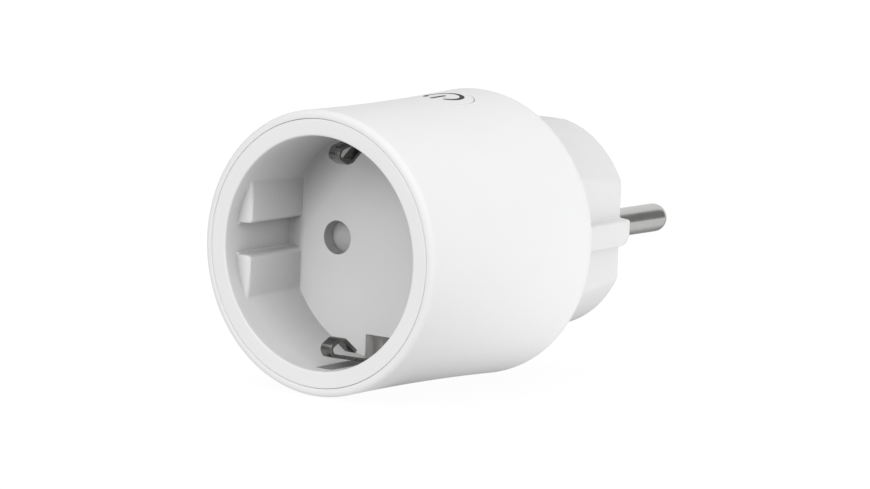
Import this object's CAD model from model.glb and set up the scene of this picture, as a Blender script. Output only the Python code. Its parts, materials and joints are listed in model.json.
"""A smart plug lying on a white studio floor: a round sleeve with a socket at one end, two pins at
the other, and a power button on top.

The socket faces the front (-Y), the pins point to the back (+Y), and the plug face, where the pins
leave the body, lies at y = 0. Lengths here are in millimetres unless noted, with y counted
backwards from the socket's front face.
"""

import json
import math

import bmesh
import bpy
from mathutils import Matrix, Vector
from mathutils.geometry import delaunay_2d_cdt


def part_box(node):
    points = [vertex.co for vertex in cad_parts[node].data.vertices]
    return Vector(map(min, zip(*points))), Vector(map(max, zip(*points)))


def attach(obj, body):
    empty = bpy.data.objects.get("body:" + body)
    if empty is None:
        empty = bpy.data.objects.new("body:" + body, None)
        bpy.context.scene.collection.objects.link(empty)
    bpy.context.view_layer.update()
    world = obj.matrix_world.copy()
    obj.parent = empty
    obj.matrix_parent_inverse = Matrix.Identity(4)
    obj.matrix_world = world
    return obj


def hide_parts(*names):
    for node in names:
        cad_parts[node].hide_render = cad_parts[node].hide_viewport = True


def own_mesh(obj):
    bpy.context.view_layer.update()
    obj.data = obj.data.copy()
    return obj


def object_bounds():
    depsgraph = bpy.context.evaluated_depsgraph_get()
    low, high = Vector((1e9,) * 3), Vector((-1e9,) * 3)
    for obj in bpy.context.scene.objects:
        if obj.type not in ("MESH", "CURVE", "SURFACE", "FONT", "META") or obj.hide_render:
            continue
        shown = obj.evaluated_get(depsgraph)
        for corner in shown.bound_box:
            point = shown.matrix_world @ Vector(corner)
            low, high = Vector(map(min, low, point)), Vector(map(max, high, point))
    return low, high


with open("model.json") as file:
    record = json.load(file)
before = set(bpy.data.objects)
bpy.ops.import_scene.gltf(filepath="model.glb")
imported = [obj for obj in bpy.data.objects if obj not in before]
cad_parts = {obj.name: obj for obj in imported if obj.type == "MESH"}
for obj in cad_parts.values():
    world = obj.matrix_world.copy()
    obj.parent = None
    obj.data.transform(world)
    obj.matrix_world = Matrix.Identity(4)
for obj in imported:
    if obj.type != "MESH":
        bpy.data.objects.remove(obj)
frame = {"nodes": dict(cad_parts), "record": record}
NODES = frame["nodes"]
CAD_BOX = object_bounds()
SCENE = bpy.context.scene
MM = 0.001


# ================================================================ driving dimensions
def box_mm(name):
    """Low and high corner of a CAD piece."""
    low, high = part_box(name)
    return [v / MM for v in low], [v / MM for v in high]


sleeve_low, sleeve_high = box_mm("outer_sleeve")
button_low, button_high = box_mm("power_button")
pin_low, pin_high = box_mm("neutral_pin")

FACE_Y = -sleeve_low[1]                      # plug face
SHOULDER = FACE_Y + sleeve_high[1]           # rear end of the sleeve
BUTTON_Y = FACE_Y + (button_low[1] + button_high[1]) / 2.0
PIN_X = (pin_low[0] + pin_high[0]) / 2.0
PIN_LENGTH = pin_high[1]
RING_R = box_mm("socket_insert")[1][0]       # front ring of the insert

# the sleeve's outer wall bows inwards along an arc between two end radii
WAIST_FRONT_R = 24.06
WAIST_REAR_R = 24.195
WAIST_ARC_R = 593.0


def waist_radius(y):
    rise = WAIST_REAR_R - WAIST_FRONT_R
    chord = math.hypot(SHOULDER, rise)
    sag = math.sqrt(WAIST_ARC_R ** 2 - chord * chord / 4.0)
    arc_r = (WAIST_FRONT_R + WAIST_REAR_R) / 2.0 + sag * SHOULDER / chord
    arc_y = SHOULDER / 2.0 - sag * rise / chord
    return arc_r - math.sqrt(WAIST_ARC_R ** 2 - (y - arc_y) ** 2)


def wall_height(x, y, drop=0.0):
    """Height z of the upper outer wall, lowered by drop."""
    radius = waist_radius(y) - drop
    return math.sqrt(max(radius * radius - x * x, 0.0))


# ================================================================ plane geometry
def polar(radius, angle, cx=0.0, cy=0.0):
    return cx + radius * math.cos(angle), cy + radius * math.sin(angle)


def full_turn(count, start=0.0):
    """Evenly spaced angles round a circle."""
    return [start + 2 * math.pi * i / count for i in range(count)]


def ring(count, radius, cx=0.0, cy=0.0):
    return [polar(radius, angle, cx, cy) for angle in full_turn(count)]


def arc(cx, cy, radius, start, end, count):
    """Arc points between two angles in degrees."""
    return [polar(radius, math.radians(angle), cx, cy) for angle in spread(start, end, count)]


def spread(start, end, count):
    """count equal steps from start to end, both included."""
    return [start + (end - start) * i / count for i in range(count + 1)]


def inside(point, loop):
    x, y = point
    hit = False
    previous = loop[-1]
    for current in loop:
        xi, yi = current
        xj, yj = previous
        if (yi > y) != (yj > y) and x < (xj - xi) * (y - yi) / (yj - yi) + xi:
            hit = not hit
        previous = current
    return hit


def soft_min(a, b, reach):
    """Smaller of two values, rounded where they differ by less than reach."""
    near = max(reach - abs(a - b), 0.0) / reach
    return min(a, b) - near * near * reach * 0.25


def smoothstep(t):
    t = min(max(t, 0.0), 1.0)
    return t * t * (3 - 2 * t)


def shrunk(points, amount):
    """Points moved towards the origin."""
    moved = []
    for x, z in points:
        radius = math.hypot(x, z)
        moved.append((x * (radius - amount) / radius, z * (radius - amount) / radius))
    return moved


def full_outline(even, odd):
    """Closed (x, z) outline: even fills +x+z and -x-z, odd fills the other two quadrants."""
    outline = [(x, z) for x, z in even]
    outline += [(-x, z) for x, z in reversed(odd[:-1])]
    outline += [(-x, -z) for x, z in even[1:]]
    outline += [(x, -z) for x, z in reversed(odd[1:-1])]
    return outline


# ================================================================ mesh building
MERGE_DISTANCE = 2e-7                        # metres


class Shape:
    """Collects vertices, given in millimetres with y from the front face, and faces by index."""

    def __init__(self):
        self.vertices = []
        self.faces = []

    def add(self, point):
        x, y, z = point
        self.vertices.append((x * MM, (y - FACE_Y) * MM, z * MM))
        return len(self.vertices) - 1

    def row(self, points):
        return [self.add(p) for p in points]

    def row_at(self, y, outline):
        """Row of (x, z) points in the plane at y."""
        return self.row([(x, y, z) for x, z in outline])

    def outline(self, row):
        """The (x, z) points of a row."""
        return [(self.vertices[i][0] / MM, self.vertices[i][2] / MM) for i in row]

    def face(self, indices):
        self.faces.append(tuple(indices))

    def bridge(self, a, b):
        for i in range(len(a)):
            j = (i + 1) % len(a)
            self.face((a[i], a[j], b[j], b[i]))

    def bridges(self, rows):
        for a, b in zip(rows, rows[1:]):
            self.bridge(a, b)

    def fan(self, row, centre):
        tip = self.add(centre)
        for i in range(len(row)):
            self.face((row[i], row[(i + 1) % len(row)], tip))

    def prism(self, low, high):
        low, high = self.row(low), self.row(high)
        self.face(low)
        self.face(high)
        self.bridge(low, high)

    def box(self, x0, x1, y0, y1, z0, z1):
        corners = ((x0, z0), (x1, z0), (x1, z1), (x0, z1))
        self.prism([(x, y0, z) for x, z in corners], [(x, y1, z) for x, z in corners])

    def revolve(self, profile, count, cx=0.0, cz=0.0):
        """Turns a profile of (radius, y) about an axis along Y; radius 0 closes an end."""
        rows = [self.row_at(y, ring(count, radius, cx, cz)) if radius > 0.0 else None
                for radius, y in profile]
        for i in range(len(rows) - 1):
            here, following = rows[i], rows[i + 1]
            if here is None:
                self.fan(following, (cx, profile[i][1], cz))
            elif following is None:
                self.fan(here, (cx, profile[i + 1][1], cz))
            else:
                self.bridge(here, following)

    def fill(self, outer, holes, to_space, extra=()):
        """Triangulates a plane region between an outer loop and holes, with extra points in it."""
        points, edges = [], []
        for loop in [outer] + list(holes):
            start = len(points)
            points += [Vector(p) for p in loop]
            edges += [(start + i, start + (i + 1) % len(loop)) for i in range(len(loop))]
        points += [Vector(p) for p in extra]
        flat, _, triangles, _, _, _ = delaunay_2d_cdt(points, edges, [], 0, 1e-6)
        indices = [self.add(to_space(v.x, v.y)) for v in flat]
        for triangle in triangles:
            middle = (sum(flat[i].x for i in triangle) / 3.0, sum(flat[i].y for i in triangle) / 3.0)
            if inside(middle, outer) and not any(inside(middle, hole) for hole in holes):
                self.face([indices[i] for i in triangle])

    def cap(self, y, outer, holes):
        """Flat face at y between (x, z) loops."""
        self.fill(outer, holes, lambda x, z: (x, y, z))

    def bore(self, cx, radius, lip, face_y, far_y, angles, count):
        """Hole along Y with a rounded lip at face_y."""
        inward = 1.0 if far_y > face_y else -1.0
        rows = []
        for angle in map(math.radians, angles):
            lip_r = radius + lip * (1 - math.sin(angle))
            y = face_y + inward * lip * (1 - math.cos(angle))
            rows.append(self.row_at(y, ring(count, lip_r, cx)))
        rows.append(self.row_at(far_y, ring(count, radius, cx)))
        self.bridges(rows)

    def to_object(self, name, sharp=32.0, weighted=True):
        mesh = bpy.data.meshes.new(name)
        mesh.from_pydata(self.vertices, [], self.faces)
        bm = bmesh.new()
        bm.from_mesh(mesh)
        bmesh.ops.remove_doubles(bm, verts=bm.verts, dist=MERGE_DISTANCE)
        bmesh.ops.dissolve_degenerate(bm, dist=1e-8, edges=bm.edges)
        loose = [v for v in bm.verts if not v.link_faces]
        bmesh.ops.delete(bm, geom=loose, context="VERTS")
        bmesh.ops.recalc_face_normals(bm, faces=bm.faces)
        bm.to_mesh(mesh)
        bm.free()
        made = bpy.data.objects.new(name, mesh)
        SCENE.collection.objects.link(made)
        smooth(made, sharp, weighted)
        return made


def smooth(target, sharp, weighted=True):
    """Smooth shading, with edges steeper than sharp degrees kept crisp."""
    target.data.shade_smooth()
    target.data.set_sharp_from_angle(angle=math.radians(sharp))
    if weighted:
        normals = target.modifiers.new("normals", "WEIGHTED_NORMAL")
        normals.keep_sharp = True
        normals.mode = "FACE_AREA"
        normals.weight = 50


def carve(target, cutters):
    """Subtracts the cutters from the mesh, one after another, and removes them."""
    for cutter in cutters:
        cut = target.modifiers.new("cut", "BOOLEAN")
        cut.operation = "DIFFERENCE"
        cut.solver = "EXACT"
        cut.object = cutter
        bpy.context.view_layer.update()
        depsgraph = bpy.context.evaluated_depsgraph_get()
        result = bpy.data.meshes.new_from_object(target.evaluated_get(depsgraph))
        target.modifiers.remove(cut)
        old = target.data
        target.data = result
        bpy.data.meshes.remove(old)
    for cutter in cutters:
        bpy.data.objects.remove(cutter)
    bm = bmesh.new()
    bm.from_mesh(target.data)
    bmesh.ops.remove_doubles(bm, verts=bm.verts, dist=1e-6)
    bmesh.ops.dissolve_degenerate(bm, dist=1e-7, edges=bm.edges)
    bm.to_mesh(target.data)
    bm.free()
    smooth(target, sharp=38.0)


def join(target, other):
    """Adds another object's closed shells to the target's mesh."""
    bm = bmesh.new()
    bm.from_mesh(target.data)
    bm.from_mesh(other.data)
    bm.to_mesh(target.data)
    bm.free()
    bpy.data.objects.remove(other)


# ================================================================ shader graphs
class Graph:
    """Adds linked shader nodes; any input takes a plain value or another node's output."""

    def __init__(self, owner):
        owner.use_nodes = True
        self.nodes = owner.node_tree.nodes
        self.links = owner.node_tree.links
        self.nodes.clear()

    def add(self, kind, inputs=(), **settings):
        made = self.nodes.new("ShaderNode" + kind)
        for key, value in settings.items():
            setattr(made, key, value)
        for key, source in dict(inputs).items():
            if isinstance(source, bpy.types.NodeSocket):
                self.links.new(source, made.inputs[key])
            else:
                made.inputs[key].default_value = source
        return made

    def noise(self, vector, scale, detail, roughness):
        inputs = {"Scale": scale, "Detail": detail, "Roughness": roughness, "Vector": vector}
        return self.add("TexNoise", inputs).outputs["Fac"]

    def remap(self, value, span, to, **settings):
        """Maps the range span onto the range to, clamped."""
        inputs = {"Value": value, "From Min": span[0], "From Max": span[1],
                  "To Min": to[0], "To Max": to[1]}
        return self.add("MapRange", inputs, **settings).outputs["Result"]

    def smooth_remap(self, value, span, to):
        return self.remap(value, span, to, interpolation_type="SMOOTHSTEP")

    def math(self, operation, *terms):
        return self.add("Math", dict(enumerate(terms)), operation=operation).outputs[0]

    def product(self, first, *others):
        for other in others:
            first = self.math("MULTIPLY", first, other)
        return first

    def blend(self, factor, a, b):
        """Number between a (factor 0) and b (factor 1)."""
        return self.add("Mix", {0: factor, 2: a, 3: b}, data_type="FLOAT").outputs[0]

    def mix_color(self, factor, a, b, blend_type="MIX"):
        made = self.add("Mix", {0: factor, 6: a, 7: b}, data_type="RGBA", blend_type=blend_type)
        return made.outputs[2]

    def tinted(self, color, tone):
        return self.mix_color(1.0, color, tone, "MULTIPLY")

    def separate(self, vector):
        return self.add("SeparateXYZ", {0: vector}).outputs


# ================================================================ materials
NOISE_SPAN = (0.3, 0.7)                      # the part of a noise's range that is used
MATS = {}


def material(name, color, rough, metal=0.0, drift=0.04, drift_scale=60.0, rough_drift=0.06,
             grain=3500.0, bump=0.15, depth=2e-6, brush=0.0, stretch=(1.0, 1.0, 1.0),
             subsurface=0.0, specular=0.5, coat=0.0, transmission=0.0, glow=0.0, overlay=None):
    """Slow drift of tint and roughness with a fine moulded or brushed grain.

    depth is the grain's height in metres. brush adds a coarser grain that also darkens the tint.
    overlay(graph, coords, tint) may change the tint last.
    """
    made = bpy.data.materials.new(name)
    graph = Graph(made)
    coords = graph.add("TexCoord").outputs["Object"]
    grain_coords = graph.add("Mapping", {"Vector": coords, "Scale": stretch}).outputs["Vector"]

    slow = graph.noise(coords, scale=drift_scale, detail=4.0, roughness=0.55)
    tint = graph.tinted((*color, 1.0),
                        graph.remap(slow, NOISE_SPAN, to=(1.0 - drift, 1.0 + drift * 0.5)))
    height = graph.noise(grain_coords, scale=grain, detail=3.0, roughness=0.6)
    if brush > 0.0:
        coarse = graph.noise(grain_coords, scale=grain * 0.35, detail=2.0, roughness=0.5)
        height = graph.blend(brush, height, coarse)
        tint = graph.tinted(tint, graph.remap(height, NOISE_SPAN, to=(1.0 - 0.35 * brush, 1.0)))
    relief = graph.add("Bump", {"Strength": bump, "Distance": depth, "Height": height})
    rough_range = (max(rough - rough_drift, 0.02), min(rough + rough_drift, 1.0))
    roughness = graph.remap(slow, NOISE_SPAN, to=rough_range)
    if overlay:
        tint = overlay(graph, coords, tint)

    surface = graph.add("BsdfPrincipled", {
        "Base Color": tint,
        "Normal": relief.outputs["Normal"],
        "Roughness": roughness,
        "Metallic": metal,
        "IOR": 1.5,
        "Specular IOR Level": specular,
        "Subsurface Weight": subsurface,
        "Subsurface Radius": (1.0, 0.9, 0.8),
        "Subsurface Scale": 0.8 * MM,
        "Coat Weight": coat,
        "Coat Roughness": 0.15,
        "Transmission Weight": transmission,
    })
    if glow > 0.0:
        surface.inputs["Emission Color"].default_value = (*color, 1.0)
        surface.inputs["Emission Strength"].default_value = glow
    graph.add("OutputMaterial", {"Surface": surface.outputs["BSDF"]})
    MATS[name] = made


def worn_edges(graph, coords, tint):
    """Lightens convex edges."""
    pointiness = graph.add("NewGeometry").outputs["Pointiness"]
    amount = graph.remap(pointiness, span=(0.52, 0.62), to=(0.0, 0.5))
    return graph.mix_color(amount, tint, (1.0, 1.0, 1.0, 1.0))


BOARD_GREEN = (0.020, 0.130, 0.045)


def copper_tracks(graph, coords, tint):
    """Paler tracks under the solder mask, laid out as brick joints."""
    red, green, blue = BOARD_GREEN
    turned = graph.add("Mapping", {"Vector": coords, "Rotation": (math.radians(90), 0, 0)})
    joints = graph.add("TexBrick", {
        "Vector": turned.outputs["Vector"],
        "Scale": 330.0,
        "Mortar Size": 0.03,
        "Brick Width": 0.9,
        "Row Height": 0.35,
        "Color1": (0, 0, 0, 1),
        "Color2": (0, 0, 0, 1),
        "Mortar": (1, 1, 1, 1),
    })
    strength = graph.math("MULTIPLY", joints.outputs["Color"], 0.6)
    return graph.mix_color(strength, tint, (red * 2.6, green * 1.9, blue * 2.2, 1.0))


def recess_shading(graph, coords, tint):
    """Dulls hollows by ambient occlusion and sets the tone of single places in the socket recess.

    Positions are in scene metres, so the plug face is y = 0.
    """
    occlusion = graph.add("AmbientOcclusion", {"Distance": 20.0 * MM},
                          samples=12, only_local=True).outputs["AO"]
    tone = graph.remap(occlusion, span=(0.0, 1.0), to=(0.21, 1.0))
    geometry = graph.add("NewGeometry").outputs
    normal = graph.separate(geometry["Normal"])
    place = graph.separate(geometry["Position"])
    x_off = graph.math("ABSOLUTE", place["X"])
    z_off = graph.math("ABSOLUTE", place["Z"])

    # the recess floor, deep inside and facing the front, but not inside the side grooves
    facing = graph.remap(normal["Y"], span=(-0.97, -0.80), to=(1.0, 0.0))
    deep = graph.remap(place["Y"], span=(-0.0520, -0.0490), to=(0.0, 1.0))
    less_above = graph.remap(place["Z"], span=(-0.006, 0.012), to=(1.0, 0.95))
    off_grooves = graph.remap(x_off, span=(0.0164, 0.0176), to=(1.0, 0.0))
    on_floor = graph.product(facing, less_above, deep, off_grooves)
    tone = graph.blend(on_floor, tone, 0.82)

    # walls of the two clip windows, behind the floor and far from the middle
    far_out = graph.remap(z_off, span=(0.0149, 0.0153), to=(0.0, 1.0))
    behind = graph.remap(place["Y"], span=(-0.04685, -0.04680), to=(0.0, 1.0))
    tone = graph.blend(graph.product(far_out, behind), tone, 1.0)

    # darker walls of the two pin holes
    from_pin = graph.math("SUBTRACT", x_off, PIN_X * MM)
    across = graph.add("CombineXYZ", {"X": from_pin, "Y": place["Z"]}).outputs[0]
    distance = graph.add("VectorMath", {0: across}, operation="LENGTH").outputs["Value"]
    tone = graph.product(tone, graph.remap(distance, span=(0.00281, 0.00291), to=(0.61, 1.0)))

    # the whole recess: duller at the top, brighter at the bottom
    slope = graph.remap(place["Z"], span=(-0.019, 0.019), to=(1.12, 0.90))
    in_recess = graph.remap(place["Y"], span=(-0.0642, -0.0602), to=(0.0, 1.0))
    tone = graph.product(tone, graph.blend(in_recess, 1.0, slope))

    # the floor's upper corner on the -X side
    towards = graph.add("VectorMath", {0: geometry["Position"], 1: (-0.79, 0.0, 0.61)},
                        operation="DOT_PRODUCT").outputs["Value"]
    corner = graph.remap(towards, span=(0.0130, 0.0190), to=(1.0, 0.62))
    tone = graph.product(tone, graph.blend(on_floor, 1.0, corner))

    # upward faces of the ribs beside the grooves, outside the pin holes
    upward = graph.remap(normal["Z"], span=(0.25, 0.75), to=(0.0, 1.0))
    mid_height = graph.remap(z_off, span=(0.0036, 0.0040), to=(1.0, 0.0))
    outside = graph.math("GREATER_THAN", x_off, 0.0150)
    tone = graph.blend(graph.product(upward, mid_height, in_recess, outside), tone, 0.70)
    return graph.tinted(tint, tone)


ALONG_Y = (1.0, 0.1, 1.0)                    # grain stretch of parts brushed along Y
ALONG_X = (0.1, 1.0, 1.0)

# white mouldings
material("shell_white", color=(0.885, 0.885, 0.888), rough=0.46, drift=0.012, drift_scale=45.0,
         grain=5200.0, bump=0.20, depth=3e-6, subsurface=0.06, rough_drift=0.04, specular=0.35)
material("insert_white", color=(0.885, 0.885, 0.885), rough=0.42, drift=0.015, drift_scale=70.0,
         grain=5200.0, bump=0.18, depth=3e-6, rough_drift=0.04, specular=0.35,
         overlay=recess_shading)
material("plug_white", color=(0.80, 0.80, 0.80), rough=0.40, drift=0.015, grain=4200.0, bump=0.22,
         depth=3e-6, subsurface=0.05, rough_drift=0.05, specular=0.40)
material("button_white", color=(0.87, 0.87, 0.873), rough=0.40, drift=0.012, drift_scale=80.0,
         grain=5200.0, subsurface=0.05, specular=0.40)

# grey mouldings
material("light_guide_grey", color=(0.045, 0.045, 0.047), rough=0.55, drift=0.10,
         drift_scale=300.0, grain=3000.0, bump=0.1, specular=0.12)
material("shutter_grey", color=(0.60, 0.60, 0.60), rough=0.45, drift=0.05, drift_scale=250.0,
         grain=4000.0, bump=0.25, depth=3e-6)
material("carrier_grey", color=(0.80, 0.80, 0.80), rough=0.48, drift=0.08, drift_scale=200.0,
         bump=0.3, depth=3e-6, glow=0.07)

# contacts and hardware
material("contact_brass", color=(0.78, 0.57, 0.27), rough=0.28, metal=1.0, drift=0.10,
         drift_scale=260.0, grain=5000.0, bump=0.2, brush=0.4, stretch=ALONG_Y)
material("clip_steel", color=(0.195, 0.191, 0.184), rough=0.28, metal=1.0, drift=0.35,
         drift_scale=420.0, grain=9000.0, bump=0.35, depth=4e-6, brush=0.55,
         stretch=(1.0, 0.08, 1.0), rough_drift=0.12, overlay=worn_edges)
material("pin_nickel", color=(0.70, 0.695, 0.68), rough=0.25, metal=1.0, drift=0.06,
         drift_scale=220.0, grain=7000.0, bump=0.22, depth=3e-6, brush=0.25, rough_drift=0.07)
material("spring_steel", color=(0.50, 0.50, 0.50), rough=0.22, metal=1.0, drift=0.10,
         drift_scale=600.0)
material("screw_steel", color=(0.55, 0.55, 0.54), rough=0.30, metal=1.0, drift=0.12,
         drift_scale=500.0, brush=0.3)

# boards and their parts
material("board_green", color=BOARD_GREEN, rough=0.32, drift=0.10, drift_scale=120.0, grain=2600.0,
         bump=0.25, depth=4e-6, coat=0.4, overlay=copper_tracks)
material("relay_blue", color=(0.030, 0.110, 0.330), rough=0.36, drift=0.08, drift_scale=200.0,
         grain=4000.0, bump=0.25, depth=3e-6)
material("can_aluminium", color=(0.70, 0.71, 0.72), rough=0.30, metal=0.9, drift=0.06, brush=0.3,
         stretch=ALONG_Y)
material("film_yellow", color=(0.72, 0.50, 0.06), rough=0.38, drift=0.08, drift_scale=220.0,
         grain=3600.0, bump=0.25)
material("varistor_blue", color=(0.030, 0.160, 0.420), rough=0.42, drift=0.12, drift_scale=320.0,
         grain=1800.0, bump=0.5, depth=8e-6)
material("ferrite_grey", color=(0.055, 0.055, 0.058), rough=0.60, drift=0.18, drift_scale=400.0,
         grain=3000.0, bump=0.5, depth=6e-6)
material("fuse_green", color=(0.10, 0.26, 0.12), rough=0.45, drift=0.10, drift_scale=300.0,
         grain=3000.0, bump=0.4)
material("chip_black", color=(0.018, 0.018, 0.019), rough=0.52, drift=0.20, drift_scale=500.0,
         grain=6000.0, bump=0.5, depth=4e-6)
material("shunt_copper", color=(0.72, 0.42, 0.29), rough=0.26, metal=1.0, drift=0.12, brush=0.4,
         stretch=ALONG_X)
material("header_black", color=(0.022, 0.022, 0.024), rough=0.45, drift=0.15, drift_scale=400.0,
         bump=0.3)
material("shield_tin", color=(0.66, 0.66, 0.65), rough=0.32, metal=1.0, drift=0.10,
         drift_scale=300.0, brush=0.3)
material("led_clear", color=(0.88, 0.90, 0.92), rough=0.12, drift=0.02, transmission=0.7,
         bump=0.05)
material("switch_grey", color=(0.10, 0.10, 0.105), rough=0.42, drift=0.12, drift_scale=400.0,
         bump=0.3)
material("plunger_black", color=(0.020, 0.020, 0.020), rough=0.40, drift=0.12, drift_scale=500.0,
         bump=0.3)
for wire_name, wire_color in (("wire_brown", (0.145, 0.055, 0.022)),
                              ("wire_blue", (0.020, 0.120, 0.480)),
                              ("wire_green", (0.160, 0.420, 0.060))):
    material(wire_name, color=wire_color, rough=0.36, drift=0.08, drift_scale=240.0, bump=0.2,
             coat=0.2)


def dress(target, slot, body, replaced):
    target.data.materials.clear()
    target.data.materials.append(MATS[slot])
    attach(target, body)
    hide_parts(replaced)
    return target


# ================================================================ outer sleeve
SLEEVE_COLUMNS = 288
SLEEVE_STEP = 2 * math.pi / SLEEVE_COLUMNS
PATCH_HALF = 16                              # columns each side of the square round the button
SEAM_R = 22.60                               # front opening
BORE_R = 21.90
NECK_R = 19.25                               # rear opening
FRONT_ROUND = 1.0
REAR_ROUND = 3.0
REAR_WALL = 1.8
BUTTON_HOLE_R = 5.5
BUTTON_HOLE_EDGE = 0.16
COLLAR_R = 6.95                              # round the button hole, inside the bore
COLLAR_Z = 20.74


def edge_round(radius, plane_y, rear):
    """Round between the waisted wall and an end plane.

    Returns the contact y, the centre's radius and y, and the contact angle in degrees.
    """
    y = plane_y + (-radius if rear else radius)
    for _ in range(20):
        slope = (waist_radius(y + 0.01) - waist_radius(y - 0.01)) / 0.02
        length = math.sqrt(1 + slope * slope)
        normal_y = -slope / length
        y = (plane_y - radius if rear else plane_y + radius) + radius * normal_y
    angle = math.degrees(math.atan2(normal_y, 1.0 / length))
    return y, waist_radius(y) - radius / length, y - radius * normal_y, angle


def sleeve_front_profile(patch_front):
    """(radius, y) from the seam round the front edge to the button patch."""
    contact_y, centre_r, centre_y, angle = edge_round(FRONT_ROUND, 0.0, rear=False)
    profile = [(SEAM_R, 2.3), (SEAM_R, 0.9)]
    profile += arc(SEAM_R + 0.16, 0.16, 0.16, 180, 270, 4)
    profile += [(22.95, 0.0)]
    profile += arc(centre_r, centre_y, FRONT_ROUND, -90, angle, 12)
    profile += [(waist_radius(y), y) for y in spread(contact_y, patch_front, 14)[1:-1]]
    return profile


def sleeve_rear_profile(patch_rear):
    """(radius, y) from the button patch round the rear edge and forwards along the bore."""
    contact_y, centre_r, centre_y, angle = edge_round(REAR_ROUND, SHOULDER, rear=True)
    middle = patch_rear + (contact_y - patch_rear) * 0.5
    inner_y = SHOULDER - REAR_WALL
    profile = [(waist_radius(middle), middle)]
    profile += arc(centre_r, centre_y, REAR_ROUND, angle, 90, 16)
    profile += [(20.3, SHOULDER)]
    profile += arc(NECK_R + 0.15, SHOULDER - 0.15, 0.15, 90, 180, 3)
    profile += [(NECK_R, SHOULDER - 1.0), (NECK_R, inner_y), (20.4, inner_y), (BORE_R, inner_y),
                (BORE_R, (inner_y + patch_rear) / 2)]
    return profile


def column(i):
    """Index in a row of the column counted from the top."""
    return (i + SLEEVE_COLUMNS // 2) % SLEEVE_COLUMNS


def bridge_round_patch(shape, rows):
    """Bridges rows everywhere but across the button patch."""
    half_turn = SLEEVE_COLUMNS // 2
    for a, b in zip(rows, rows[1:]):
        for i in range(-half_turn, half_turn):
            if not -PATCH_HALF <= i < PATCH_HALF:
                shape.face((a[column(i)], a[column(i + 1)], b[column(i + 1)], b[column(i)]))


def patch_border(rows):
    """Vertices round the square patch, from its corner at -x on the first row."""
    last = 2 * PATCH_HALF
    border = [rows[0][column(i)] for i in range(-PATCH_HALF, PATCH_HALF)]
    border += [rows[j][column(PATCH_HALF)] for j in range(last)]
    border += [rows[last][column(i)] for i in range(PATCH_HALF, -PATCH_HALF, -1)]
    border += [rows[j][column(-PATCH_HALF)] for j in range(last, 0, -1)]
    return border


def square_to_circle(shape, border, angles, radius, height, rings):
    """Fills the patch from its border to a circle round the button's axis; returns the circle."""
    square = [(shape.vertices[i][0] / MM, shape.vertices[i][1] / MM + FACE_Y) for i in border]
    circle = [polar(radius, angle, 0.0, BUTTON_Y) for angle in angles]
    rows = [border]
    for k in range(1, rings + 1):
        t = 1 - (1 - k / float(rings)) ** 1.25
        points = []
        for (sx, sy), (cx, cy) in zip(square, circle):
            x, y = sx + (cx - sx) * t, sy + (cy - sy) * t
            points.append((x, y, height(x, y)))
        rows.append(shape.row(points))
    shape.bridges(rows)
    return rows[-1]


def button_circle(shape, angles, radius, z):
    """Level row round the button's axis."""
    return shape.row([(*polar(radius, angle, 0.0, BUTTON_Y), z) for angle in angles])


def button_rim(shape, angles, contact_r, edge, side, drop):
    """Rows of a quarter round that leaves the outer wall at contact_r; side is +1 for outwards."""
    rows = []
    for k in range(1, 5):
        turn = math.pi / 2 * k / 4
        radius = contact_r + side * edge * math.sin(turn)
        points = []
        for angle in angles:
            top = wall_height(*polar(contact_r, angle, 0.0, BUTTON_Y), drop)
            points.append((*polar(radius, angle, 0.0, BUTTON_Y), top - edge * (1 - math.cos(turn))))
        rows.append(shape.row(points))
    return rows


def make_sleeve():
    shape = Shape()
    reach = PATCH_HALF * SLEEVE_STEP * 24.0              # makes the patch about square
    patch_front, patch_rear = BUTTON_Y - reach, BUTTON_Y + reach
    patch_ys = spread(patch_front, patch_rear, 2 * PATCH_HALF)
    # (radius, y) of the bore in front of the patch, with a shallow groove
    inner_front = [
        (BORE_R, patch_front - 2.5), (BORE_R, patch_front - 5.5), (BORE_R, 15.0), (BORE_R, 12.0),
        (BORE_R + 0.4, 11.6), (BORE_R + 0.4, 10.0), (BORE_R, 10.0), (BORE_R, 6.0), (BORE_R, 2.3),
    ]

    def turned(profile):
        turns = [SLEEVE_STEP * (i - SLEEVE_COLUMNS // 2) for i in range(SLEEVE_COLUMNS)]
        return [shape.row([(r * math.sin(t), y, r * math.cos(t)) for t in turns])
                for r, y in profile]

    front = turned(sleeve_front_profile(patch_front))
    outside = turned([(waist_radius(y), y) for y in patch_ys])
    rear = turned(sleeve_rear_profile(patch_rear))
    bore = turned([(BORE_R, y) for y in reversed(patch_ys)])
    last = turned(inner_front)
    shape.bridges(front + [outside[0]])
    shape.bridges([outside[-1]] + rear + [bore[0]])
    shape.bridges([bore[-1]] + last + [front[0]])
    bridge_round_patch(shape, outside)
    bridge_round_patch(shape, bore)

    angles = full_turn(8 * PATCH_HALF, start=-0.75 * math.pi)
    contact_r = BUTTON_HOLE_R + BUTTON_HOLE_EDGE
    rows = [square_to_circle(shape, patch_border(outside), angles, contact_r, wall_height, 7)]
    rows += button_rim(shape, angles, contact_r, BUTTON_HOLE_EDGE, side=-1, drop=0.0)
    for radius, z in ((BUTTON_HOLE_R, 22.2), (BUTTON_HOLE_R, COLLAR_Z), (COLLAR_R, COLLAR_Z)):
        rows.append(button_circle(shape, angles, radius, z))
    shape.bridges(rows)
    collar_top = square_to_circle(shape, patch_border(list(reversed(bore))), angles, COLLAR_R,
                                  lambda x, y: math.sqrt(BORE_R * BORE_R - x * x), 3)
    # the collar wall stands between its lower rim and the bore
    shape.bridge(rows[-1], collar_top)
    return shape.to_object("outer_sleeve_shell", sharp=35.0)


dress(make_sleeve(), "shell_white", "housing", "outer_sleeve")


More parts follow.
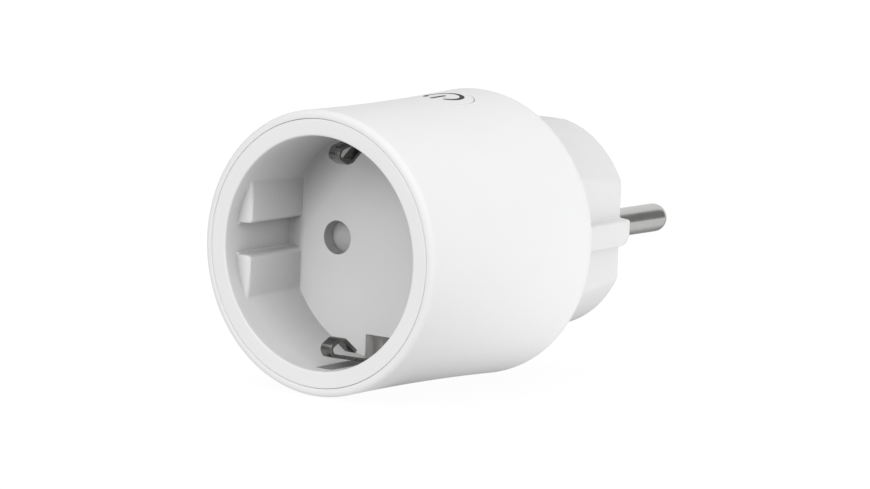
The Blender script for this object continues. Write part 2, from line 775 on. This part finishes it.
# ================================================================ socket insert
RIM_R = 19.69                                # recess radius at the front
FLOOR_R = 19.40                              # recess radius at the floor
DEPTH = 17.4                                 # recess floor
BACK = 19.6                                  # rear of the cup
CUP_R = 21.2
RIB_X = 16.95                                # flat faces of the side ribs
GROOVE_HALF = 2.6                            # half width of the groove between the ribs
RIB_ROUND = 0.72
ROOT_ROUND = 0.30
RIB_START = 2.98                             # y where the ribs begin to rise
RIB_FULL = 3.90                              # y where they are full
INSERT_HOLE_R = 2.8
INSERT_HOLE_LIP = 0.12
INSERT_HOLE_SIDES = 72


def recess_radius(y):
    return RIM_R - (RIM_R - FLOOR_R) * y / DEPTH


def insert_columns():
    """Columns of one quadrant of the ribbed recess, from +x to +z.

    ("wall", angle) lies on the round wall, ("fix", x, z) is a fixed point of the rib and
    ("rib", angle) lies on the rib's flat or the wall behind it.
    """
    base = recess_radius(9.0)
    root_z = GROOVE_HALF - ROOT_ROUND
    root_x = math.sqrt(base ** 2 - root_z ** 2)
    columns = [("wall", math.asin(root_z * i / 6.0 / base)) for i in range(7)]
    for angle in (math.radians(30.0), math.radians(60.0)):
        columns.append(("fix", root_x - ROOT_ROUND * math.sin(angle),
                        root_z + ROOT_ROUND * (1 - math.cos(angle))))
    side_x = root_x - ROOT_ROUND
    for i in range(4):
        columns.append(("fix", side_x + (RIB_X + RIB_ROUND - side_x) * i / 3.0,
                        GROOVE_HALF + 0.05 * i / 3.0))
    edge_z = GROOVE_HALF + 0.05 + RIB_ROUND
    columns += [("fix", x, z) for x, z in arc(RIB_X + RIB_ROUND, edge_z, RIB_ROUND, -90, -180, 8)[1:]]
    # finer where the rib's flat runs out into the round wall
    stops = [math.atan2(edge_z, RIB_X), math.radians(27.4), math.radians(32.6), math.pi / 2]
    for start, end, count in zip(stops, stops[1:], (12, 26, 42)):
        columns += [("rib", angle) for angle in spread(start, end, count)[1:]]
    return columns


INSERT_COLUMNS = insert_columns()


def insert_section(y, ribbed):
    """Closed (x, z) loop, blended from a plain wall (ribbed = 0) to the ribbed one (1)."""
    wall = recess_radius(y)
    quarter = []
    for kind, *values in INSERT_COLUMNS:
        if kind == "wall":
            point = polar(wall, values[0])
        elif kind == "fix":
            x, z = values
            plain_x, plain_z = polar(wall, math.atan2(z, x))
            point = (plain_x + (x - plain_x) * ribbed, plain_z + (z - plain_z) * ribbed)
        else:
            angle = values[0]
            radius = soft_min(RIB_X / max(math.cos(angle), 1e-6), wall, 0.18)
            point = polar(wall + (radius - wall) * ribbed, angle)
        quarter.append(point)
    return full_outline(quarter, quarter)


def insert_stations():
    """(y, ribbed) from the rim down to the round at the floor."""
    stations = [(y, 0.0) for y in (0.9, 1.6, 2.4, 2.9)]
    for k in range(21):
        t = (k / 20.0) ** 1.3
        stations.append((RIB_START + (RIB_FULL - RIB_START) * t, (1.0 - (1.0 - t) ** 2.2) ** 0.72))
    stations += [(y, 1.0) for y in spread(RIB_FULL, DEPTH - 0.10, 10)[1:]]
    return stations


def mirrored_cutter(name, half_width, y0, y1, z_inner, z_outer):
    """Two boxes, one above and one below the axis."""
    shape = Shape()
    shape.box(-half_width, half_width, y0, y1, z_inner, z_outer)
    shape.box(-half_width, half_width, y0, y1, -z_outer, -z_inner)
    return shape.to_object(name, weighted=False)


def make_bosses():
    """A pivot, two screw bosses and a square stop on the rear of the insert."""
    shape = Shape()
    root, top = BACK - 0.3, BACK + 2.2
    for radius, cx, cz in ((1.93, 0.0, 0.0), (2.4, 14.2, 9.6), (2.4, -14.2, -9.6)):
        shape.revolve([(0.0, root), (radius, root), (radius, top - 0.15), (radius - 0.15, top),
                       (0.0, top)], 40, cx, cz)
    shape.box(3.5, 6.1, root, top, -11.6, -10.2)
    return shape.to_object("bosses", weighted=False)


def make_insert():
    shape = Shape()
    angles = [math.atan2(z, x) for x, z in insert_section(0.0, 0.0)]

    # (radius, y) from the rear over the outside and the front ring into the recess
    profile = [(CUP_R, BACK), (CUP_R, 14.0), (CUP_R, 8.0), (CUP_R, 2.2),
               (RING_R - 0.1, 2.2), (RING_R, 2.1), (RING_R, 0.9)]
    profile += arc(RING_R - 0.14, 0.14, 0.14, 0, -90, 4)
    profile += [(21.9, 0.0), (21.2, 0.0), (20.5, 0.0)]
    profile += arc(RIM_R + 0.34, 0.34, 0.34, -90, -180, 6)
    rows = [shape.row_at(y, [polar(radius, angle) for angle in angles]) for radius, y in profile]
    rows += [shape.row_at(y, insert_section(y, ribbed)) for y, ribbed in insert_stations()]
    # small round into the floor
    for turn in (math.radians(30.0), math.radians(60.0), math.radians(90.0)):
        y = DEPTH - 0.10 + 0.10 * math.sin(turn)
        outline = shrunk(insert_section(DEPTH, 1.0), 0.10 * (1 - math.cos(turn)))
        rows.append(shape.row_at(y, outline))
    shape.bridges(rows)

    def pin_holes(radius):
        return [ring(INSERT_HOLE_SIDES, radius, side * PIN_X) for side in (1, -1)]

    shape.cap(DEPTH, shape.outline(rows[-1]), pin_holes(INSERT_HOLE_R + INSERT_HOLE_LIP))
    shape.cap(BACK, [polar(CUP_R, angle) for angle in angles], pin_holes(INSERT_HOLE_R))
    for side in (1, -1):
        shape.bore(side * PIN_X, INSERT_HOLE_R, INSERT_HOLE_LIP, DEPTH, BACK,
                   (0.0, 30.0, 60.0, 90.0), INSERT_HOLE_SIDES)
    insert = shape.to_object("socket_insert_shell", weighted=False)
    carve(insert, [
        mirrored_cutter("cut_slots", 1.8, 2.9, 21.0, 18.4, 22.0),
        mirrored_cutter("cut_windows", 2.6, 16.9, 21.0, 15.5, 20.2),
    ])
    join(insert, make_bosses())
    return insert


dress(make_insert(), "insert_white", "housing", "socket_insert")


# ================================================================ plug body
# the body tapers from the shoulder (base) to the plug face (face)
PLUG_BASE_R = 19.1
PLUG_FACE_X = 16.85                          # the face is slightly oval
PLUG_FACE_Z = 17.7
FLAT_BASE, FLAT_FACE = 15.9, 14.95           # x of the side flats
TONGUE_BASE, TONGUE_FACE = 18.25, 17.1       # x of the side tongues
TONGUE_HALF = 2.25                           # nominal half width
TONGUE_ROUND = 0.38
TONGUE_ROOT_ROUND = 0.28
FLANGE_R = 21.6
FLANGE_FRONT = SHOULDER - 3.7
FLANGE_REAR = SHOULDER - 1.85
FACE_ROUND = 1.0
PLUG_INNER = FACE_Y - 2.2                    # inner side of the face wall
PLUG_HOLE_R = 2.415
PLUG_HOLE_LIP = 0.10
PLUG_HOLE_SIDES = 64

# cutters above and below: name, half width in x, (y, z) outline
PLUG_CUTS = (
    # seat of the earth strip
    ("cut_earth", 2.05, [(49.9, 14.0), (50.75, 14.0), (50.75, 17.84), (58.7, 17.0), (58.7, 20.0),
                         (49.9, 20.0)]),
    # shallow flat running to the face
    ("cut_flat", 2.75, [(49.2, 18.62), (50.2, 18.45), (58.7, 17.82), (FACE_Y + 0.5, 17.38),
                        (FACE_Y + 0.5, 20.5), (49.2, 20.5)]),
)


def drafted(y, base, face):
    return base + (face - base) * (y - SHOULDER) / (FACE_Y - SHOULDER)


def oval_radius(y, angle):
    radius_x = drafted(y, PLUG_BASE_R, PLUG_FACE_X)
    radius_z = drafted(y, PLUG_BASE_R, PLUG_FACE_Z)
    return 1.0 / math.hypot(math.cos(angle) / radius_x, math.sin(angle) / radius_z)


def plug_quarter(y, flare, bevel, half):
    """Outline of one quadrant from the tongue's middle to the top.

    flare widens the tongue's root and bevel (0 to 1) cuts the corner of its end.
    """
    flat = drafted(y, FLAT_BASE, FLAT_FACE)
    tongue = drafted(y, TONGUE_BASE, TONGUE_FACE)
    corner_x = tongue - TONGUE_ROUND
    points = [(tongue, z) for z in spread(0.0, half - TONGUE_ROUND, 5)]
    points += arc(corner_x, half - TONGUE_ROUND, TONGUE_ROUND, 0.0, 90.0, 7)[1:]
    root_x, root_z = flat + TONGUE_ROOT_ROUND, half + flare
    for i in range(1, 4):
        t = i / 3.0
        points.append((corner_x + (root_x - corner_x) * t, half + (root_z - half) * t))
    if bevel > 0.0:
        beveled = []
        for x, z in points:
            amount = min(max((z - 0.9) / (half - 0.9), 0.0), 1.0)
            beveled.append((max(x - 0.75 * bevel * amount, flat) if x > flat else x, z))
        points = beveled
    for turn in (math.radians(30.0), math.radians(60.0), math.radians(90.0)):
        points.append((root_x - TONGUE_ROOT_ROUND * math.sin(turn),
                       root_z + TONGUE_ROOT_ROUND * (1 - math.cos(turn))))
    start = math.atan2(root_z + TONGUE_ROOT_ROUND, flat)
    for angle in spread(start, math.pi / 2, 60)[1:]:
        radius = soft_min(flat / max(math.cos(angle), 1e-6), oval_radius(y, angle), 0.20)
        points.append(polar(radius, angle))
    return points


def plug_section(y):
    """The tongues are wider, and bevelled near the face, in the -x+z and +x-z quadrants."""
    bevel = smoothstep((y - (FACE_Y - 2.6)) / 2.2)
    narrow = plug_quarter(y, 0.12, 0.0, TONGUE_HALF - 0.25)
    wide = plug_quarter(y, 0.06, bevel, TONGUE_HALF + 0.05)
    return full_outline(narrow, wide)


def make_plug_cutters():
    cutters = []
    for name, half, profile in PLUG_CUTS:
        shape = Shape()
        for side in (1, -1):
            shape.prism([(-half, y, side * z) for y, z in profile],
                        [(half, y, side * z) for y, z in profile])
        cutters.append(shape.to_object(name, weighted=False))
    return cutters


def make_posts():
    """Four posts in front of the flange and a tube round each pin."""
    shape = Shape()
    post_end = FLANGE_FRONT + 0.3
    tube_end = PLUG_INNER + 0.2
    for cx in (15.2, -15.2):
        for cz in (10.6, -10.6):
            shape.revolve([(0.0, 40.2), (2.05, 40.2), (2.2, 40.35), (2.2, post_end),
                           (0.0, post_end)], 32, cx, cz)
    for side in (1, -1):
        shape.revolve([(2.72, 58.9), (3.9, 58.9), (4.0, 59.0), (4.0, tube_end), (2.72, tube_end),
                       (2.72, 58.9)], 40, side * PIN_X)
    return shape.to_object("posts", weighted=False)


def make_plug():
    shape = Shape()
    angles = [math.atan2(z, x) for x, z in plug_section(SHOULDER)]
    # (radius, y) of the flange and the collar behind it
    profile = [
        (16.6, FLANGE_FRONT), (FLANGE_R - 0.15, FLANGE_FRONT), (FLANGE_R, FLANGE_FRONT + 0.15),
        (FLANGE_R, FLANGE_REAR - 0.15), (FLANGE_R - 0.15, FLANGE_REAR),
        (PLUG_BASE_R, FLANGE_REAR), (PLUG_BASE_R, SHOULDER),
    ]
    rows = [shape.row_at(y, [polar(radius, angle) for angle in angles]) for radius, y in profile]
    bevel_start = FACE_Y - 2.9
    stations = [SHOULDER + 0.02 + (bevel_start - SHOULDER) * i / 10.0 for i in range(11)]
    stations += [bevel_start + 1.9 * i / 6.0 for i in range(1, 7)]
    rows += [shape.row_at(y, shrunk(plug_section(y), 0.0)) for y in stations]
    for turn in map(math.radians, spread(0.0, 90.0, 8)[1:]):
        y = FACE_Y - FACE_ROUND + FACE_ROUND * math.sin(turn)
        outline = shrunk(plug_section(y), FACE_ROUND * (1 - math.cos(turn)))
        rows.append(shape.row_at(y, outline))
    shape.bridges(rows)

    def pin_holes(radius):
        return [ring(PLUG_HOLE_SIDES, radius, side * PIN_X) for side in (1, -1)]

    shape.cap(FACE_Y, shape.outline(rows[-1]), pin_holes(PLUG_HOLE_R + PLUG_HOLE_LIP))

    # inner skin, flattened at the sides
    skin = [rows[0]]
    for y in (SHOULDER - 1.0, 50.0, 56.0, PLUG_INNER):
        radius = drafted(y, PLUG_BASE_R, PLUG_FACE_X) - 2.0
        outline = [polar(radius, angle) for angle in angles]
        skin.append(shape.row_at(y, [(max(-13.6, min(13.6, x)), z) for x, z in outline]))
    shape.bridges(skin)
    shape.cap(PLUG_INNER, shape.outline(skin[-1]), pin_holes(PLUG_HOLE_R))
    for side in (1, -1):
        shape.bore(side * PIN_X, PLUG_HOLE_R, PLUG_HOLE_LIP, FACE_Y, PLUG_INNER,
                   (0.0, 45.0, 90.0), PLUG_HOLE_SIDES)
    plug = shape.to_object("plug_body_shell", weighted=False)
    carve(plug, make_plug_cutters())
    join(plug, make_posts())
    return plug


dress(make_plug(), "plug_white", "housing", "plug_body")


# ================================================================ pins
PIN_R = 2.4
PIN_DOME = 2.2                               # length of the domed tip
# turned root inside the body: (radius, y from the plug face)
PIN_ROOT = [(0.0, -8.4), (0.9, -8.4), (1.0, -8.3), (1.0, -6.9), (3.0, -6.9), (3.1, -6.8),
            (3.1, -5.4), (2.6, -5.4), (2.6, -2.3), (PIN_R, -2.3)]


def make_pin(name, side):
    tip = FACE_Y + PIN_LENGTH
    sphere_r = (PIN_R ** 2 + PIN_DOME ** 2) / (2 * PIN_DOME)
    dome_angle = math.acos((sphere_r - PIN_DOME) / sphere_r)
    profile = [(radius, FACE_Y + y) for radius, y in PIN_ROOT]
    profile += [(PIN_R, FACE_Y + y) for y in spread(0.0, PIN_LENGTH - PIN_DOME, 12)]
    for i in range(1, 18):
        angle = dome_angle * (1 - i / 18.0)
        profile.append((sphere_r * math.sin(angle), tip - sphere_r + sphere_r * math.cos(angle)))
    profile.append((0.0, tip))
    shape = Shape()
    shape.revolve(profile, 96, side * PIN_X)
    return shape.to_object(name, sharp=40.0)


dress(make_pin("live_pin_turned", -1), "pin_nickel", "housing", "live_pin")
dress(make_pin("neutral_pin_turned", 1), "pin_nickel", "housing", "neutral_pin")


# ================================================================ earth clips
# corners (y, z) of the upper clip's centreline, rear to front and back, and its bend radii
CLIP_CORNERS = [(25.3, 20.375), (20.2, 20.375), (4.05, 17.45), (3.1, 16.1), (5.6, 14.85),
                (7.0, 15.05), (10.15, 17.3)]
CLIP_BENDS = [3.0, 0.55, 0.7, 0.9, 1.2]
CLIP_WIDTH = 2.3
CLIP_THICKNESS = 0.65
CLIP_EDGE = 0.13
CLIP_RUN = 0.6                               # step along the straights
CLIP_TURN = 9.0                              # step round the bends, degrees


def straight(start, end):
    count = max(1, int((end - start).length / CLIP_RUN))
    return [start + (end - start) * (k / count) for k in range(1, count + 1)]


def centreline(corners, bends):
    """Path through the corners with every inner corner rounded by its bend radius."""
    corners = [Vector(corner) for corner in corners]
    path = [corners[0].copy()]
    last = corners[0]
    for before, corner, after, radius in zip(corners, corners[1:], corners[2:], bends):
        back = (before - corner).normalized()
        ahead = (after - corner).normalized()
        angle = math.acos(max(-1.0, min(1.0, back.dot(ahead))))
        trim = radius / math.tan(angle / 2.0)
        bend_start, bend_end = corner + back * trim, corner + ahead * trim
        centre = corner + (back + ahead).normalized() * (radius / math.sin(angle / 2.0))
        path += straight(last, bend_start)
        v0, v1 = bend_start - centre, bend_end - centre
        sweep = math.atan2(v0.x * v1.y - v0.y * v1.x, v0.dot(v1))
        count = max(2, int(abs(math.degrees(sweep)) / CLIP_TURN) + 1)
        for k in range(1, count + 1):
            t = sweep * k / count
            path.append(centre + Vector((v0.x * math.cos(t) - v0.y * math.sin(t),
                                         v0.x * math.sin(t) + v0.y * math.cos(t))))
        last = bend_end
    return path + straight(last, corners[-1])


def strip_section(shrink):
    """Rounded rectangle in (across, through), set in by shrink."""
    edge = max(CLIP_EDGE - shrink * 0.5, 0.05)
    across = (CLIP_WIDTH - 2 * shrink) / 2 - edge
    through = (CLIP_THICKNESS - 2 * shrink) / 2 - edge
    points = []
    for sx, sy, start in ((1, 1, 0), (-1, 1, 90), (-1, -1, 180), (1, -1, 270)):
        points += arc(sx * across, sy * through, edge, start, start + 90.0, 3)
    return points


def make_clip(name, side):
    """Bent strip; side is +1 above the axis and -1 below."""
    shape = Shape()
    path = centreline(CLIP_CORNERS, CLIP_BENDS)
    last = len(path) - 1
    directions = [(path[min(i + 1, last)] - path[max(i - 1, 0)]).normalized()
                  for i in range(last + 1)]

    def strip_row(i, shift=0.0, shrink=0.0):
        """Section at path point i, moved along the path by shift."""
        along = directions[i]
        place = path[i] + along * shift
        return shape.row([(u, place.x - along.y * v, side * (place.y + along.x * v))
                          for u, v in strip_section(shrink)])

    rows = [strip_row(0, shrink=0.07), strip_row(0, shift=0.07)]
    rows += [strip_row(i) for i in range(1, last)]
    rows += [strip_row(last, shift=-0.10), strip_row(last, shift=-0.03, shrink=0.04),
             strip_row(last, shrink=0.10)]
    shape.bridges(rows)
    shape.face(rows[0])
    shape.face(rows[-1])
    return shape.to_object(name, sharp=50.0)


dress(make_clip("earth_clip_top_strip", 1), "clip_steel", "clip_top", "earth_clip_top")
dress(make_clip("earth_clip_bottom_strip", -1), "clip_steel", "clip_bottom", "earth_clip_bottom")


# ================================================================ button and its power mark
MARK_R = 3.08                                # open ring, middle of the stroke
MARK_STROKE = 0.8
MARK_SHIFT = 0.45                            # ring centre behind the button's centre
MARK_GAP = math.radians(42.0)                # half of the ring's opening
MARK_BAR = (-3.3, 0.1)                       # bar's ends in y from the ring centre
MARK_DEPTH = 0.45
CAP_R = 5.35
CAP_EDGE = 0.16
CAP_DROP = 0.03                              # cap surface below the sleeve's
# (radius, z) down the cap's side, over the flange and to the stem's end
CAP_SIDE = [(CAP_R, 22.0), (CAP_R, 20.7), (6.1, 20.7), (6.2, 20.6), (6.2, 20.1), (6.1, 20.0),
            (1.5, 20.0), (1.5, 18.95), (1.42, 18.87)]


def mark_outlines(grow):
    """Closed (x, y) outlines of the open ring and the bar, widened by grow on each side."""
    start, end = -math.pi / 2 + MARK_GAP, 1.5 * math.pi - MARK_GAP
    half = MARK_STROKE / 2 + grow

    def round_end(cx, cy, angle):
        return [polar(half, angle + math.pi * i / 8, cx, cy) for i in range(9)]

    open_ring = [polar(MARK_R + half, angle) for angle in spread(start, end, 72)]
    open_ring += round_end(*polar(MARK_R, end), end)[1:-1]
    open_ring += [polar(MARK_R - half, angle) for angle in spread(end, start, 72)]
    open_ring += round_end(*polar(MARK_R, start), start + math.pi)[1:-1]
    low, high = MARK_BAR
    bar = round_end(0.0, high, 0.0)
    bar += [(-half, y) for y in spread(high, low, 10)[1:-1]]
    bar += round_end(0.0, low, math.pi)
    bar += [(half, y) for y in spread(low, high, 10)[1:-1]]
    centre_y = BUTTON_Y + MARK_SHIFT
    return [[(x, centre_y + y) for x, y in loop] for loop in (open_ring, bar)]


def near_loops(point, loops, distance):
    return any((point[0] - x) ** 2 + (point[1] - y) ** 2 < distance * distance
               for loop in loops for x, y in loop)


def cap_grid(rim, loops):
    """Triangular grid of points on the cap, clear of its rim and of the mark."""
    pitch = 0.42
    reach = int(rim / pitch) + 1
    points = []
    for i in range(-reach, reach + 1):
        for j in range(-reach, reach + 1):
            x, y = pitch * (i + 0.5 * (j % 2)), pitch * 0.866 * j
            if math.hypot(x, y) < rim - 0.25 and not near_loops((x, y + BUTTON_Y), loops, 0.22):
                points.append((x, y + BUTTON_Y))
    return points


def add_recess(shape, loop, top, bottom):
    """Wall between two heights along a loop, closed at the bottom."""
    upper = shape.row([top(x, y) for x, y in loop])
    lower = shape.row([bottom(x, y) for x, y in loop])
    shape.bridge(upper, lower)
    shape.fill(loop, [], bottom)


def make_button():
    shape = Shape()
    angles = full_turn(128)
    rim = CAP_R - CAP_EDGE

    def top(x, y):
        return x, y, wall_height(x, y, CAP_DROP)

    def mark_floor(x, y):
        return x, y, wall_height(x, y, CAP_DROP) - MARK_DEPTH

    loops = mark_outlines(grow=0.012)
    outer = [polar(rim, angle, 0.0, BUTTON_Y) for angle in angles]
    shape.fill(outer, loops, top, extra=cap_grid(rim, loops))
    for loop in loops:
        add_recess(shape, loop, top, mark_floor)
    rows = [shape.row([top(x, y) for x, y in outer])]
    rows += button_rim(shape, angles, rim, CAP_EDGE, side=1, drop=CAP_DROP)
    rows += [button_circle(shape, angles, radius, z) for radius, z in CAP_SIDE]
    shape.bridges(rows)
    shape.fan(rows[-1], (0.0, BUTTON_Y, CAP_SIDE[-1][1]))
    return shape.to_object("power_button_cap", sharp=35.0)


def make_mark():
    """Light guide filling the mark, just proud of the cap and short of the recess floor."""
    shape = Shape()

    def top(x, y):
        return x, y, wall_height(x, y, 0.022)

    def bottom(x, y):
        return x, y, wall_height(x, y, CAP_DROP) - 0.44

    for loop in mark_outlines(grow=0.0):
        shape.fill(loop, [], top)
        shape.fill(loop, [], bottom)
        upper = shape.row([top(x, y) for x, y in loop])
        lower = shape.row([bottom(x, y) for x, y in loop])
        shape.bridge(upper, lower)
    return shape.to_object("power_mark_light_guide", sharp=35.0)


dress(make_button(), "button_white", "button", "power_button")
dress(make_mark(), "light_guide_grey", "button", "button_light_guide")


# ================================================================ spring of the shutter
SPRING_X, SPRING_Y = 4.8, 20.75              # coil axis, along Z
SPRING_LOW = -9.95
SPRING_LENGTH = 6.38
SPRING_TURNS = 6
SPRING_STEPS = 24                            # per turn
COIL_R = 0.84
WIRE_R = 0.18


def make_spring():
    shape = Shape()
    steps = SPRING_TURNS * SPRING_STEPS
    rows = []
    for i in range(steps + 1):
        turn = 2 * math.pi * SPRING_TURNS * i / steps
        x, y = polar(COIL_R, turn, SPRING_X, SPRING_Y)
        z = SPRING_LOW + SPRING_LENGTH * i / steps
        rows.append(shape.row([(*polar(out, turn, x, y), z + rise)
                               for out, rise in ring(10, WIRE_R)]))
    shape.face(reversed(rows[0]))
    shape.face(rows[-1])
    shape.bridges(rows)
    return shape.to_object("shutter_spring_coil", weighted=False)


spring = dress(make_spring(), "spring_steel", "housing", "shutter_spring")
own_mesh(spring)

# ================================================================ carried-over CAD pieces
# bevel widths; pieces not listed keep their plain edges
BEVELS = {
    "safety_shutter": 0.10, "plug_earth_bracket": 0.08, "earth_bridge": 0.08,
    "contact_carrier": 0.15, "live_contact": 0.06, "neutral_contact": 0.06,
    "board_screws": 0.08, "carrier_screws": 0.08, "relay": 0.12, "x2_capacitor": 0.12,
    "power_inductor": 0.10, "metering_chip": 0.05, "bridge_rectifier": 0.05,
    "supply_chip": 0.05, "metering_shunt": 0.05, "board_header": 0.05,
    "radio_shield_can": 0.10, "status_led": 0.05, "tact_switch_body": 0.08,
    "tact_switch_plunger": 0.05, "varistor": 0.08, "fuse_resistor": 0.08,
    "bulk_capacitors": 0.08,
}


def base_name(slot):
    """Material name of a slot without its number, or None for an empty slot."""
    return slot.material.name.split(".")[0] if slot.material else None


def find_recorded(data, found):
    """Collects piece -> material pairs from the record, whichever way round they are stored."""
    if isinstance(data, dict):
        for key, value in data.items():
            if key in NODES and isinstance(value, str) and value in MATS:
                found[key] = value
            if key in MATS and isinstance(value, list):
                for name in value:
                    if name in NODES:
                        found[name] = key
            find_recorded(value, found)
    elif isinstance(data, list):
        for value in data:
            find_recorded(value, found)


def finish_piece(name, piece, recorded):
    """Swaps in the finishes, welds the mesh and rounds its edges."""
    known = [base_name(slot) for slot in piece.material_slots if base_name(slot) in MATS]
    fallback = known[0] if known else recorded.get(name, "carrier_grey")
    if not piece.material_slots:
        piece.data.materials.append(None)
    for slot in piece.material_slots:
        slot.material = MATS.get(base_name(slot), MATS[fallback])
    piece.data.shade_smooth()
    weld = piece.modifiers.new("weld", "WELD")
    weld.merge_threshold = 1e-6
    if name in BEVELS:
        bevel = piece.modifiers.new("edge", "BEVEL")
        bevel.width = BEVELS[name] * MM
        bevel.segments = 2
        bevel.limit_method = "ANGLE"
        bevel.angle_limit = math.radians(35.0)


recorded_slots = {}
find_recorded(frame["record"], recorded_slots)
for node_name in sorted(NODES):
    if not NODES[node_name].hide_render:
        finish_piece(node_name, NODES[node_name], recorded_slots)


# ================================================================ stage, in metres
def floor_material():
    """Glowing white floor: near white to the camera, shaded for the light it throws back."""
    made = bpy.data.materials.new("studio_floor_white")
    graph = Graph(made)
    rays = graph.add("LightPath").outputs
    place = graph.separate(graph.add("NewGeometry").outputs["Position"])

    # light on the part: dimmer under and in front of it
    dim_front = graph.smooth_remap(place["Y"], span=(-0.085, -0.010), to=(0.60, 1.12))
    # contact shade along the line where the sleeve lies on the floor, fading out at the front
    from_line = graph.math("ABSOLUTE", place["X"])
    contact = graph.smooth_remap(from_line, span=(0.0, 0.030), to=(0.38, 1.0))
    no_contact = graph.smooth_remap(place["Y"], span=(-0.062, -0.048), to=(1.0, 0.0))
    shade = graph.product(dim_front, graph.math("MAXIMUM", contact, no_contact))
    strength = graph.remap(rays["Is Glossy Ray"], span=(0.0, 1.0), to=(1.0, 0.66))
    thrown = graph.add("Emission", {"Color": shade, "Strength": strength})

    occlusion = graph.add("AmbientOcclusion", {"Distance": 0.030}, samples=8).outputs["AO"]
    seen_color = graph.remap(occlusion, span=(0.0, 1.0), to=(0.97, 1.02))
    seen = graph.add("Emission", {"Color": seen_color, "Strength": 1.0})
    surface = graph.add("MixShader", {0: rays["Is Camera Ray"], 1: thrown.outputs[0],
                                      2: seen.outputs[0]})
    graph.add("OutputMaterial", {"Surface": surface.outputs[0]})
    return made


def make_floor():
    bm = bmesh.new()
    bmesh.ops.create_grid(bm, x_segments=24, y_segments=24, size=3.0)
    mesh = bpy.data.meshes.new("studio_floor")
    bm.to_mesh(mesh)
    bm.free()
    made = bpy.data.objects.new("studio_floor", mesh)
    made.location = (0.0, 0.0, CAD_BOX[0].z - 0.00005)
    SCENE.collection.objects.link(made)
    mesh.materials.append(floor_material())


# (position, grey) from straight down (0) over the horizon (0.5) to straight up (1)
SKY_ENDS = ((0.0, 0.40), (1.0, 1.10))
SKY_STOPS = ((0.19, 0.42), (0.36, 0.60), (0.40, 0.62), (0.50, 0.14), (0.74, 0.12), (0.80, 0.95))


def sky_ramp(graph, height):
    """What shiny metal sees: grey below, a dark band above the horizon, bright overhead."""
    fraction = graph.remap(height, span=(-1.0, 1.0), to=(0.0, 1.0))
    made = graph.add("ValToRGB", {"Fac": fraction})
    made.color_ramp.interpolation = "LINEAR"
    stops = made.color_ramp.elements
    for i, (position, grey) in enumerate(SKY_ENDS):
        stops[i].position = position
        stops[i].color = (grey, grey, grey, 1)
    for position, grey in SKY_STOPS:
        stops.new(position).color = (grey, grey, grey, 1)
    return made.outputs["Color"]


def make_world():
    world = bpy.data.worlds.new("studio")
    SCENE.world = world
    graph = Graph(world)
    direction = graph.add("TexCoord").outputs["Generated"]
    axes = graph.separate(direction)
    rays = graph.add("LightPath").outputs

    # soft light, strongest from +X and a little from the front and below
    brightest = Vector((1.0, -0.14, -0.26)).normalized()
    facing = graph.add("VectorMath", {0: direction, 1: brightest}, operation="DOT_PRODUCT")
    soft = graph.remap(facing.outputs["Value"], span=(-1.0, 1.0), to=(0.42, 1.30))

    # reflections: the sky ramp, and towards the back a light panel that is dark at the upper right
    sky = sky_ramp(graph, axes["Z"])
    to_right = graph.smooth_remap(axes["X"], span=(0.12, 0.30), to=(0.0, 1.0))
    to_top = graph.smooth_remap(axes["Z"], span=(-0.12, -0.03), to=(0.0, 1.0))
    panel = graph.remap(graph.product(to_right, to_top), span=(0.0, 1.0), to=(0.82, 0.20))
    to_back = graph.smooth_remap(axes["Y"], span=(0.05, 0.35), to=(0.0, 1.0))
    reflected = graph.mix_color(to_back, sky, panel)

    light = graph.mix_color(rays["Is Glossy Ray"], soft, reflected)
    color = graph.mix_color(rays["Is Camera Ray"], light, (1.02, 1.02, 1.02, 1.0))
    background = graph.add("Background", {"Color": color, "Strength": 1.0})
    graph.add("OutputWorld", {0: background.outputs[0]})


def make_softbox():
    """Key light in front of the part and above it, aimed at its middle."""
    light = bpy.data.lights.new("key_softbox", "AREA")
    light.shape = "RECTANGLE"
    light.size = 0.6
    light.size_y = 0.5
    light.energy = 2.15
    made = bpy.data.objects.new("key_softbox", light)
    made.location = (0.10, -0.90, 0.42)
    target = (CAD_BOX[0] + CAD_BOX[1]) / 2
    made.rotation_mode = "QUATERNION"
    aim = target - Vector((0.10, -0.90, 0.42))
    made.rotation_quaternion = aim.to_track_quat("-Z", "Y")
    SCENE.collection.objects.link(made)


CAMERA_AZIMUTH = math.radians(37.087)        # from the front towards +X
CAMERA_ELEVATION = math.radians(8.387)
CAMERA_ROLL = math.radians(2.414)
CAMERA_LOCATION = (1.50666, -1.96104 - FACE_Y * MM, 0.36699)


def make_camera():
    camera = bpy.data.cameras.new("camera")
    camera.sensor_fit = "HORIZONTAL"
    camera.sensor_width = 36.0
    camera.lens = 622.686207
    camera.clip_start = 0.05
    camera.clip_end = 20.0
    back = Vector((math.sin(CAMERA_AZIMUTH) * math.cos(CAMERA_ELEVATION),
                   -math.cos(CAMERA_AZIMUTH) * math.cos(CAMERA_ELEVATION),
                   math.sin(CAMERA_ELEVATION)))
    right = Vector((math.cos(CAMERA_AZIMUTH), math.sin(CAMERA_AZIMUTH), 0.0))
    up = right.cross(-back)
    cos_roll, sin_roll = math.cos(CAMERA_ROLL), math.sin(CAMERA_ROLL)
    x_axis = [cos_roll * r + sin_roll * u for r, u in zip(right, up)]
    y_axis = [cos_roll * u - sin_roll * r for r, u in zip(right, up)]
    pose = Matrix((x_axis, y_axis, back)).transposed().to_4x4()
    pose.translation = Vector(CAMERA_LOCATION)
    made = bpy.data.objects.new("camera", camera)
    made.matrix_world = pose
    SCENE.collection.objects.link(made)
    SCENE.camera = made


make_floor()
make_world()
make_softbox()
make_camera()
SCENE.view_settings.view_transform = "Standard"
SCENE.view_settings.look = "None"
